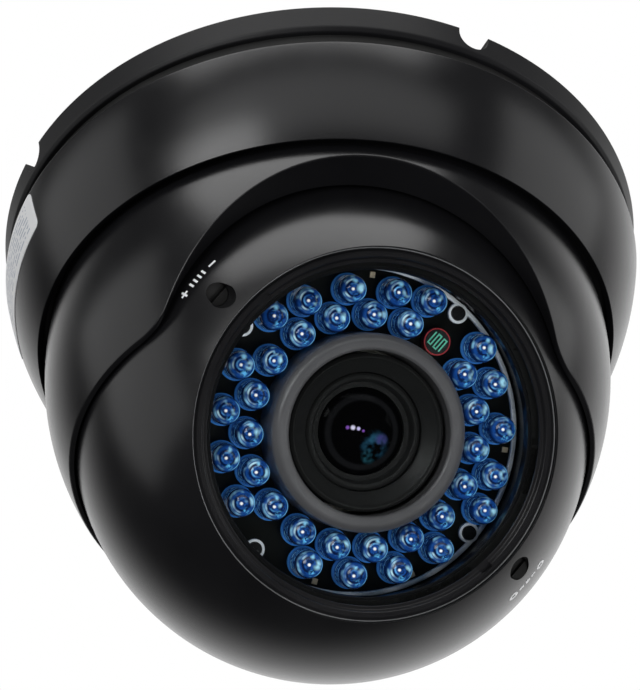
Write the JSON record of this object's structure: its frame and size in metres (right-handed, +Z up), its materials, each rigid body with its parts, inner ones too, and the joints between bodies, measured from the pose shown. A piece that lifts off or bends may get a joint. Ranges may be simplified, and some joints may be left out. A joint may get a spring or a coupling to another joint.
{
  "type": "dome cctv camera",
  "caption": "Ceiling dome camera whose eyeball pans and tilts behind an arched hood, with a ring of infrared lights round a zoom lens.",
  "frame": {"origin": "centre of the mounting face, where the base meets the ceiling", "axes": "+Z up out of the mounting face; the eyeball hangs along -Z and at rest the lens looks towards -Y and down"},
  "size_m": [0.1184, 0.1184, 0.091],
  "materials": {
    "housing_paint": "semi-gloss black powder coat",
    "ring_paint": "gloss black with bright edges",
    "seal_rubber": "matte black",
    "screw_steel": "machined",
    "glide_plastic": "waxy white",
    "bare_alloy": "die-cast",
    "label_film": "printed film sticker",
    "felt_pad": "pressed felt",
    "window_glass": "clear, polished",
    "board_laminate": "black solder mask",
    "led_resin": "clear blue-tinted resin",
    "photocell_ceramic": "lacquered ceramic",
    "chip_ceramic": "matte ceramic",
    "shroud_plastic": "satin dark grey",
    "lens_black": "satin black",
    "lens_glass": "coated, violet and green reflections",
    "frame_plastic": "moulded black",
    "standoff_brass": "machined",
    "gear_plastic": "moulded acetal"
  },
  "bodies": {
    "housing": {"mounting_base": "housing_paint", "base_gasket": "seal_rubber", "cable_grommet": "seal_rubber", "cover_seal": "seal_rubber", "outer_cover": "housing_paint", "cover_lock_screw": "screw_steel", "hood_glide": "glide_plastic", "yoke_retainer": "bare_alloy", "rating_label": "label_film"},
    "yoke": {"pan_yoke": "bare_alloy", "pan_friction_pad": "felt_pad", "pivot_bushes": "glide_plastic"},
    "hood": {"hood_collar": "housing_paint"},
    "eyeball": {"ball_front_shell": "housing_paint", "ball_rear_shell": "housing_paint", "ball_seal": "seal_rubber", "shell_screws": "screw_steel", "tilt_pins": "screw_steel", "ball_grommet": "seal_rubber", "window_glass": "window_glass", "window_seal": "seal_rubber", "window_ring": "ring_paint", "led_board": "board_laminate", "inner_leds": "led_resin", "outer_leds": "led_resin", "photocell": "photocell_ceramic", "board_chips": "chip_ceramic", "board_ring": "bare_alloy", "board_screws": "screw_steel", "lens_shroud": "shroud_plastic", "lens_barrel": "lens_black", "lens_front_ring": "lens_black", "lens_front_glass": "lens_glass", "lens_iris": "lens_black", "core_frame": "frame_plastic", "frame_screws": "screw_steel", "lens_mount": "frame_plastic", "sensor_board": "board_laminate", "image_sensor": "chip_ceramic", "main_board": "board_laminate", "main_board_parts": "frame_plastic", "standoffs": "standoff_brass", "adjuster_seals": "seal_rubber"},
    "zoom_ring": {"zoom_ring_gear": "gear_plastic"},
    "focus_ring": {"focus_ring_gear": "gear_plastic"},
    "zoom_screw": {"zoom_adjuster": "lens_black"},
    "focus_screw": {"focus_adjuster": "screw_steel"}
  },
  "joints": [
    {"name": "pan", "type": "hinge", "parent": "housing", "child": "yoke", "pos_m": [0, 0, -0.045], "axis": [0, 0, -1], "range_deg": [-175, 175]},
    {"name": "hood_turn", "type": "hinge", "parent": "yoke", "child": "hood", "pos_m": [0, 0, -0.045], "axis": [0, 0, 1], "range_deg": [-6, 23]},
    {"name": "tilt", "type": "hinge", "parent": "yoke", "child": "eyeball", "pos_m": [0, 0, -0.045], "axis": [-1, 0, 0], "range_deg": [-44, 16]},
    {"name": "zoom", "type": "hinge", "parent": "eyeball", "child": "zoom_ring", "pos_m": [0, 0, -0.045], "axis": [0, -0.6997, -0.7145], "range_deg": [0, 60]},
    {"name": "focus", "type": "hinge", "parent": "eyeball", "child": "focus_ring", "pos_m": [0, 0, -0.045], "axis": [0, -0.6997, -0.7145], "range_deg": [-30, 30]},
    {"name": "zoom_key", "type": "hinge", "parent": "eyeball", "child": "zoom_screw", "pos_m": [-0.03017, -0.01295, -0.03232], "axis": [0, -0.6997, -0.7145], "range_deg": [-320, 2]},
    {"name": "focus_key", "type": "hinge", "parent": "eyeball", "child": "focus_screw", "pos_m": [0.03017, 0.01295, -0.05768], "axis": [0, -0.6997, -0.7145], "range_deg": [-160, 160]}
  ],
  "couplings": [
    {"joint": "zoom_key", "follows": "zoom", "ratio": -5.2857},
    {"joint": "focus_key", "follows": "focus", "ratio": -5.2857}
  ]
}
